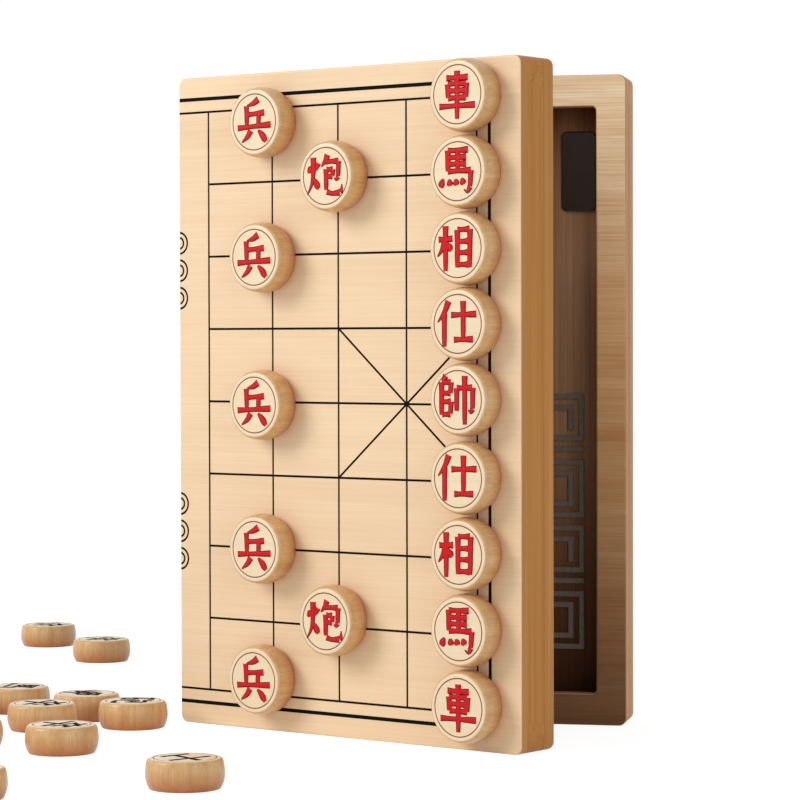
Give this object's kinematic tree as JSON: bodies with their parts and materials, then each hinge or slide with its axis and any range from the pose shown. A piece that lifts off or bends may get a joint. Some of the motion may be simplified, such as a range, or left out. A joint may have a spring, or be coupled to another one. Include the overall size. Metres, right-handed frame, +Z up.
{
  "type": "folding xiangqi box with pieces",
  "caption": "Folding wooden chess box for xiangqi, open and standing on its end, half of the board inlaid on each outer face, with magnetic barrel-shaped pieces.",
  "frame": {"origin": "centre of the front half's bottom end face, on the ground", "axes": "+Z up along the fold, -Y out of the front half's playing board, +X from the fold edge to the front half's free edge"},
  "size_m": [0.4812, 0.4485, 0.2816],
  "materials": {
    "face_wood": "satin lacquer",
    "side_wood": "satin lacquer",
    "rim_wood": "satin lacquer",
    "dark_lining": "dark walnut stain, matt",
    "line_filling": "matt paint in grooves",
    "steel": "bare sheet",
    "magnet": "nickel plated",
    "hinge_brass": "satin",
    "pin_steel": "plain",
    "badge_metal": "dark satin, blank",
    "fret_paint": "matt grey",
    "piece_wood": "satin, painted glyph and ring"
  },
  "bodies": {
    "front_half": {"front_face_panel": "face_wood", "front_board_lines": "line_filling", "front_steel_sheet": "steel", "front_rim_frame": "rim_wood", "front_cavity_liner": "dark_lining", "front_closing_magnets": "magnet", "front_hinge_screws": "hinge_brass", "front_fold_rail": "side_wood", "front_free_rail": "side_wood", "front_top_rail": "side_wood", "front_bottom_rail": "side_wood", "front_hinge_leaves": "hinge_brass", "hinge_pins": "pin_steel"},
    "back_half": {"back_face_panel": "face_wood", "back_board_lines": "line_filling", "back_steel_sheet": "steel", "back_rim_frame": "rim_wood", "back_cavity_liner": "dark_lining", "back_closing_magnets": "magnet", "back_hinge_screws": "hinge_brass", "back_fold_rail": "side_wood", "back_free_rail": "side_wood", "back_top_rail": "side_wood", "back_bottom_rail": "side_wood", "back_hinge_leaves": "hinge_brass", "back_floor_badge": "badge_metal", "back_floor_frets": "fret_paint"},
    "red_chariot_1": {"red_chariot_1": "piece_wood"},
    "red_chariot_2": {"red_chariot_2": "piece_wood"},
    "red_horse_1": {"red_horse_1": "piece_wood"},
    "red_horse_2": {"red_horse_2": "piece_wood"},
    "red_elephant_1": {"red_elephant_1": "piece_wood"},
    "red_elephant_2": {"red_elephant_2": "piece_wood"},
    "red_advisor_1": {"red_advisor_1": "piece_wood"},
    "red_advisor_2": {"red_advisor_2": "piece_wood"},
    "red_general": {"red_general": "piece_wood"},
    "red_cannon_1": {"red_cannon_1": "piece_wood"},
    "red_cannon_2": {"red_cannon_2": "piece_wood"},
    "red_soldier_1": {"red_soldier_1": "piece_wood"},
    "red_soldier_2": {"red_soldier_2": "piece_wood"},
    "red_soldier_3": {"red_soldier_3": "piece_wood"},
    "red_soldier_4": {"red_soldier_4": "piece_wood"},
    "red_soldier_5": {"red_soldier_5": "piece_wood"},
    "black_chariot_1": {"black_chariot_1": "piece_wood"},
    "black_chariot_2": {"black_chariot_2": "piece_wood"},
    "black_horse_1": {"black_horse_1": "piece_wood"},
    "black_horse_2": {"black_horse_2": "piece_wood"},
    "black_elephant_1": {"black_elephant_1": "piece_wood"},
    "black_elephant_2": {"black_elephant_2": "piece_wood"},
    "black_advisor_1": {"black_advisor_1": "piece_wood"},
    "black_advisor_2": {"black_advisor_2": "piece_wood"},
    "black_general": {"black_general": "piece_wood"},
    "black_cannon_1": {"black_cannon_1": "piece_wood"},
    "black_cannon_2": {"black_cannon_2": "piece_wood"},
    "black_soldier_1": {"black_soldier_1": "piece_wood"},
    "black_soldier_2": {"black_soldier_2": "piece_wood"},
    "black_soldier_3": {"black_soldier_3": "piece_wood"},
    "black_soldier_4": {"black_soldier_4": "piece_wood"},
    "black_soldier_5": {"black_soldier_5": "piece_wood"}
  },
  "joints": [
    {"name": "fold_hinge", "type": "hinge", "parent": "front_half", "child": "back_half", "pos_m": [-0.0921, 0.01165, 0], "axis": [0, 0, 1], "range_deg": [-25.8, 154.2]},
    {"name": "lift_red_chariot_1", "type": "slide", "parent": "front_half", "child": "red_chariot_1", "axis": [0, -1, 0], "range_m": [0, 0.02]},
    {"name": "lift_red_chariot_2", "type": "slide", "parent": "front_half", "child": "red_chariot_2", "axis": [0, -1, 0], "range_m": [0, 0.02]},
    {"name": "lift_red_horse_1", "type": "slide", "parent": "front_half", "child": "red_horse_1", "axis": [0, -1, 0], "range_m": [0, 0.02]},
    {"name": "lift_red_horse_2", "type": "slide", "parent": "front_half", "child": "red_horse_2", "axis": [0, -1, 0], "range_m": [0, 0.02]},
    {"name": "lift_red_elephant_1", "type": "slide", "parent": "front_half", "child": "red_elephant_1", "axis": [0, -1, 0], "range_m": [0, 0.02]},
    {"name": "lift_red_elephant_2", "type": "slide", "parent": "front_half", "child": "red_elephant_2", "axis": [0, -1, 0], "range_m": [0, 0.02]},
    {"name": "lift_red_advisor_1", "type": "slide", "parent": "front_half", "child": "red_advisor_1", "axis": [0, -1, 0], "range_m": [0, 0.02]},
    {"name": "lift_red_advisor_2", "type": "slide", "parent": "front_half", "child": "red_advisor_2", "axis": [0, -1, 0], "range_m": [0, 0.02]},
    {"name": "lift_red_general", "type": "slide", "parent": "front_half", "child": "red_general", "axis": [0, -1, 0], "range_m": [0, 0.02]},
    {"name": "lift_red_cannon_1", "type": "slide", "parent": "front_half", "child": "red_cannon_1", "axis": [0, -1, 0], "range_m": [0, 0.02]},
    {"name": "lift_red_cannon_2", "type": "slide", "parent": "front_half", "child": "red_cannon_2", "axis": [0, -1, 0], "range_m": [0, 0.02]},
    {"name": "lift_red_soldier_1", "type": "slide", "parent": "front_half", "child": "red_soldier_1", "axis": [0, -1, 0], "range_m": [0, 0.02]},
    {"name": "lift_red_soldier_2", "type": "slide", "parent": "front_half", "child": "red_soldier_2", "axis": [0, -1, 0], "range_m": [0, 0.02]},
    {"name": "lift_red_soldier_3", "type": "slide", "parent": "front_half", "child": "red_soldier_3", "axis": [0, -1, 0], "range_m": [0, 0.02]},
    {"name": "lift_red_soldier_4", "type": "slide", "parent": "front_half", "child": "red_soldier_4", "axis": [0, -1, 0], "range_m": [0, 0.02]},
    {"name": "lift_red_soldier_5", "type": "slide", "parent": "front_half", "child": "red_soldier_5", "axis": [0, -1, 0], "range_m": [0, 0.02]},
    {"name": "lift_black_chariot_1", "type": "slide", "parent": "front_half", "child": "black_chariot_1", "axis": [0, 0, 1], "range_m": [0, 0.02]},
    {"name": "lift_black_chariot_2", "type": "slide", "parent": "front_half", "child": "black_chariot_2", "axis": [0, 0, 1], "range_m": [0, 0.02]},
    {"name": "lift_black_horse_1", "type": "slide", "parent": "front_half", "child": "black_horse_1", "axis": [0, 0, 1], "range_m": [0, 0.02]},
    {"name": "lift_black_horse_2", "type": "slide", "parent": "front_half", "child": "black_horse_2", "axis": [0, 0, 1], "range_m": [0, 0.02]},
    {"name": "lift_black_elephant_1", "type": "slide", "parent": "front_half", "child": "black_elephant_1", "axis": [0, 0, 1], "range_m": [0, 0.02]},
    {"name": "lift_black_elephant_2", "type": "slide", "parent": "front_half", "child": "black_elephant_2", "axis": [0, 0, 1], "range_m": [0, 0.02]},
    {"name": "lift_black_advisor_1", "type": "slide", "parent": "front_half", "child": "black_advisor_1", "axis": [0, 0, 1], "range_m": [0, 0.02]},
    {"name": "lift_black_advisor_2", "type": "slide", "parent": "front_half", "child": "black_advisor_2", "axis": [0, 0, 1], "range_m": [0, 0.02]},
    {"name": "lift_black_general", "type": "slide", "parent": "front_half", "child": "black_general", "axis": [0, 0, 1], "range_m": [0, 0.02]},
    {"name": "lift_black_cannon_1", "type": "slide", "parent": "front_half", "child": "black_cannon_1", "axis": [0, 0, 1], "range_m": [0, 0.02]},
    {"name": "lift_black_cannon_2", "type": "slide", "parent": "front_half", "child": "black_cannon_2", "axis": [0, 0, 1], "range_m": [0, 0.02]},
    {"name": "lift_black_soldier_1", "type": "slide", "parent": "front_half", "child": "black_soldier_1", "axis": [0, 0, 1], "range_m": [0, 0.02]},
    {"name": "lift_black_soldier_2", "type": "slide", "parent": "front_half", "child": "black_soldier_2", "axis": [0, 0, 1], "range_m": [0, 0.02]},
    {"name": "lift_black_soldier_3", "type": "slide", "parent": "front_half", "child": "black_soldier_3", "axis": [0, 0, 1], "range_m": [0, 0.02]},
    {"name": "lift_black_soldier_4", "type": "slide", "parent": "front_half", "child": "black_soldier_4", "axis": [0, 0, 1], "range_m": [0, 0.02]},
    {"name": "lift_black_soldier_5", "type": "slide", "parent": "front_half", "child": "black_soldier_5", "axis": [0, 0, 1], "range_m": [0, 0.02]}
  ]
}
